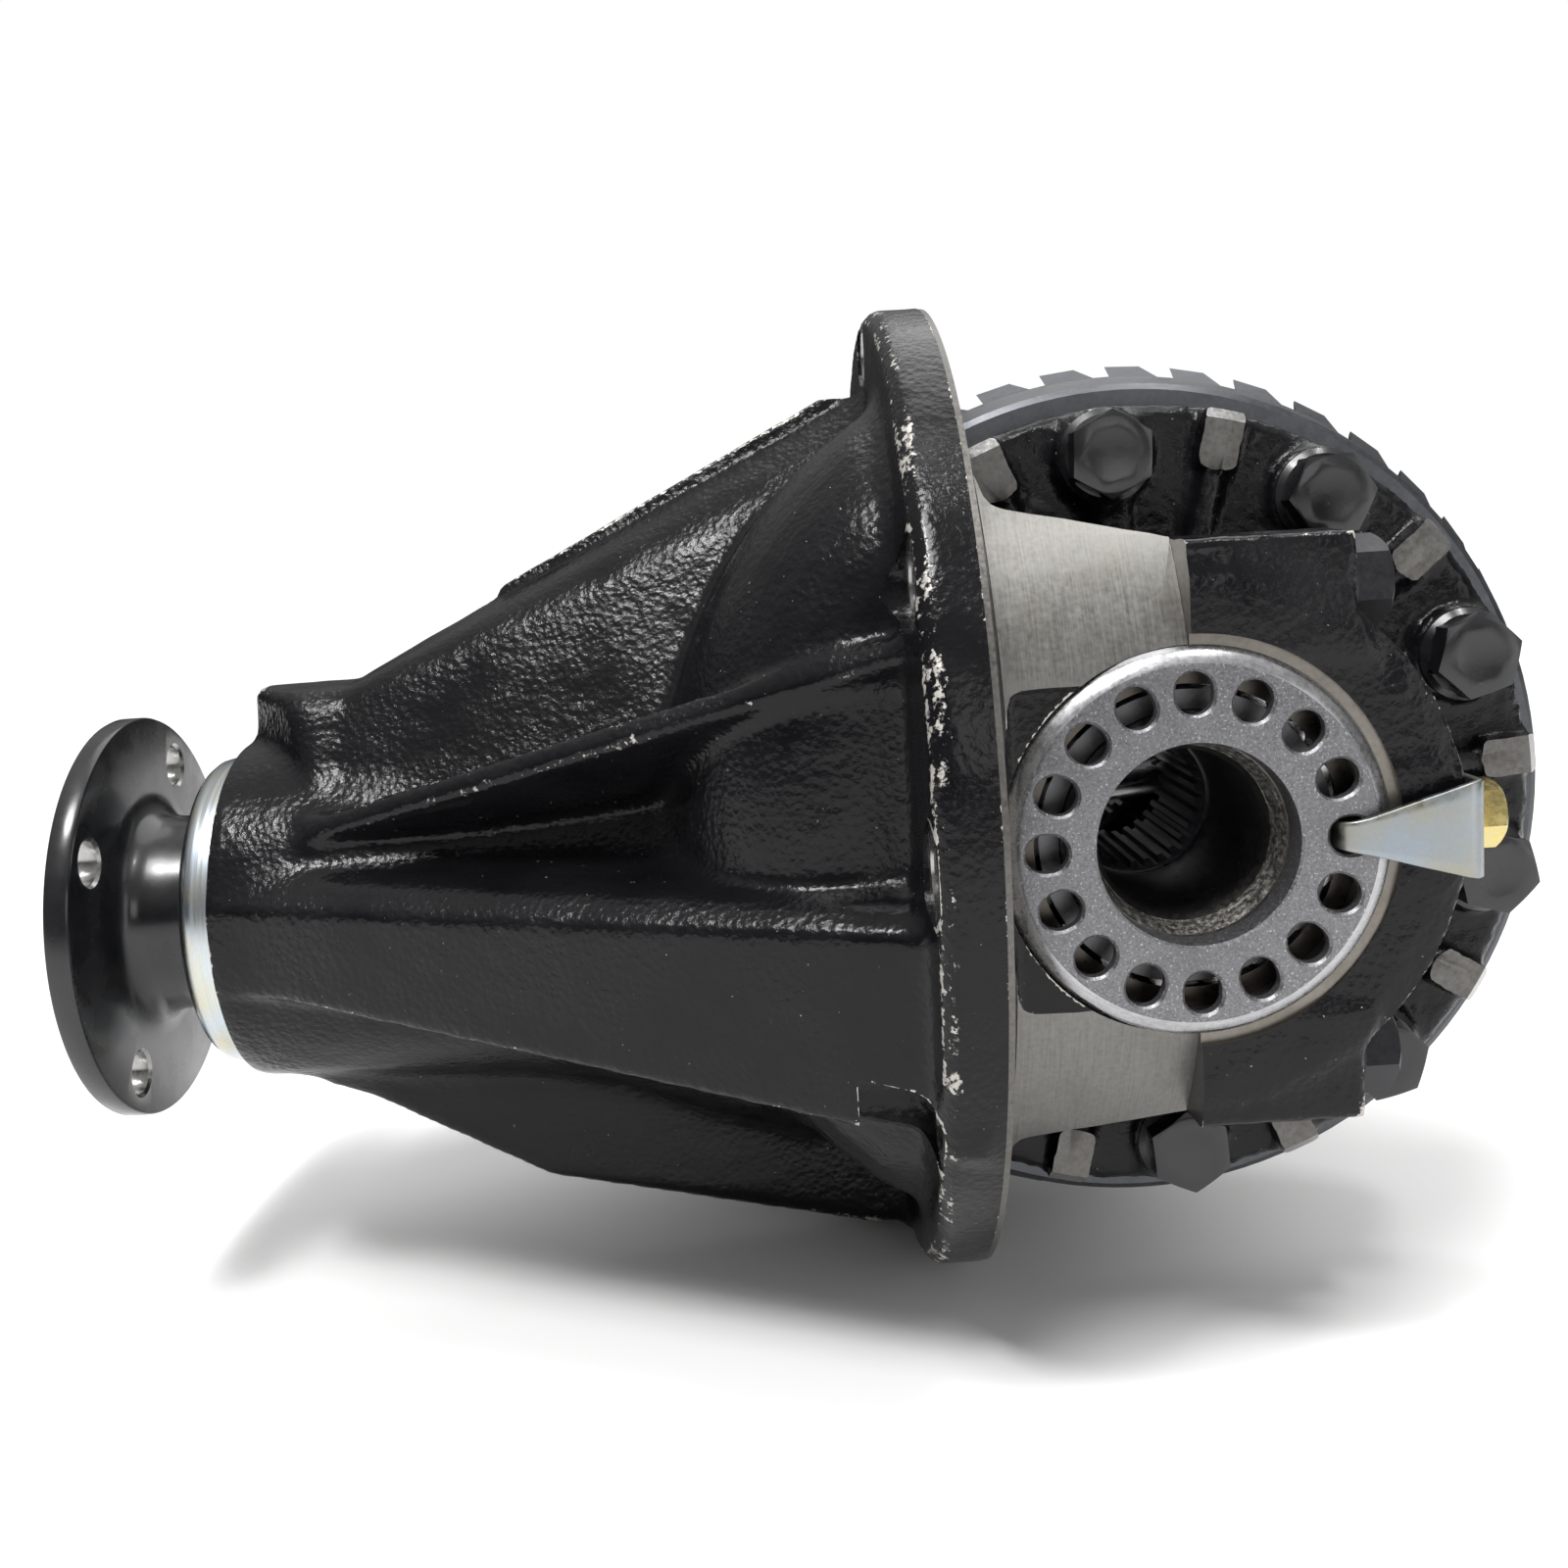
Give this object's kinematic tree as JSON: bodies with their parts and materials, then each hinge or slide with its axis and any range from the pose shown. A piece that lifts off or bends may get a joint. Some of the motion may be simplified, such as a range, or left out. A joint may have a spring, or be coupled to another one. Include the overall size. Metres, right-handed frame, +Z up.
{
  "type": "differential gear assembly",
  "caption": "Drop-out axle differential: ribbed black housing, drive pinion with input flange, crown gear and bevel differential between capped bearings.",
  "frame": {"origin": "centre of the machined mounting face, on the line through the middle of the round flange", "axes": "+X from the input flange towards the crown gear, normal to the mounting face; +Y along the axle line, from the crown gear bolt side to the other bearing; +Z up, with the pinion line below the axle line"},
  "size_m": [0.3615, 0.2424, 0.2424],
  "materials": {
    "bearing_steel": "ground bearing steel",
    "black_bolt": "black bolt finish",
    "cage_steel": "pressed steel",
    "case_paint": "black paint over cast iron, machined pads bare",
    "cast_paint": "gloss black paint over rough sand-cast iron",
    "dark_bolt": "dark heat-treated steel",
    "flange_paint": "gloss black, turned steel under it",
    "gear_steel": "dark phosphated gear steel",
    "seal_rubber": "nitrile rubber in a steel shell",
    "sintered": "blasted grey sintered steel",
    "washer_bronze": "phosphor bronze",
    "yellow_zinc": "yellow zinc plate",
    "zinc": "bright zinc plate"
  },
  "bodies": {
    "carrier": {"carrier_housing": "cast_paint", "bearing_cap_near": "cast_paint", "bearing_cap_far": "cast_paint", "cap_bolts_near": "dark_bolt", "cap_bolts_far": "dark_bolt", "adjuster_near": "sintered", "adjuster_far": "sintered", "lock_plate_near": "zinc", "lock_plate_far": "zinc", "lock_bolt_near": "yellow_zinc", "lock_bolt_far": "yellow_zinc", "lock_washer_near": "cage_steel", "lock_washer_far": "cage_steel", "side_cup_near": "bearing_steel", "side_cup_far": "bearing_steel", "pinion_cup_head": "bearing_steel", "pinion_cup_tail": "bearing_steel", "pinion_shim": "cage_steel", "pinion_seal": "seal_rubber"},
    "pinion": {"drive_pinion": "gear_steel", "pinion_cone_head": "bearing_steel", "pinion_rollers_head": "bearing_steel", "pinion_cage_head": "cage_steel", "pinion_cone_tail": "bearing_steel", "pinion_rollers_tail": "bearing_steel", "pinion_cage_tail": "cage_steel", "crush_spacer": "cage_steel", "oil_slinger": "cage_steel", "input_flange": "flange_paint", "dust_deflector": "zinc", "pinion_washer": "cage_steel", "pinion_nut": "gear_steel"},
    "case": {"diff_case": "case_paint", "crown_gear": "gear_steel", "crown_gear_bolts": "black_bolt", "side_cone_near": "bearing_steel", "side_rollers_near": "bearing_steel", "side_cage_near": "cage_steel", "side_cone_far": "bearing_steel", "side_rollers_far": "bearing_steel", "side_cage_far": "cage_steel", "cross_shaft": "gear_steel", "cross_shaft_pin": "gear_steel", "side_washers": "washer_bronze", "spider_washers": "washer_bronze"},
    "side_near": {"side_gear_near": "gear_steel"},
    "side_far": {"side_gear_far": "gear_steel"},
    "spider_a": {"spider_gear_a": "gear_steel"},
    "spider_b": {"spider_gear_b": "gear_steel"}
  },
  "joints": [
    {"name": "case_spin", "type": "hinge", "parent": "carrier", "child": "case", "pos_m": [0.041, 0, 0], "axis": [0, 1, 0], "continuous": true},
    {"name": "pinion_spin", "type": "hinge", "parent": "carrier", "child": "pinion", "pos_m": [-0.1, 0, -0.0229], "axis": [1, 0, 0], "continuous": true},
    {"name": "side_near_spin", "type": "hinge", "parent": "case", "child": "side_near", "pos_m": [0.041, 0, 0], "axis": [0, 1, 0], "continuous": true},
    {"name": "side_far_spin", "type": "hinge", "parent": "case", "child": "side_far", "pos_m": [0.041, 0, 0], "axis": [0, 1, 0], "continuous": true},
    {"name": "spider_a_spin", "type": "hinge", "parent": "case", "child": "spider_a", "pos_m": [0.041, 0, 0], "axis": [0.9969, 0, 0.0785], "continuous": true},
    {"name": "spider_b_spin", "type": "hinge", "parent": "case", "child": "spider_b", "pos_m": [0.041, 0, 0], "axis": [-0.9969, 0, -0.0785], "continuous": true}
  ],
  "couplings": [
    {"joint": "pinion_spin", "follows": "case_spin", "ratio": -4.1},
    {"joint": "side_far_spin", "follows": "side_near_spin", "ratio": -1},
    {"joint": "spider_a_spin", "follows": "side_near_spin", "ratio": 1.6},
    {"joint": "spider_b_spin", "follows": "side_near_spin", "ratio": 1.6}
  ]
}
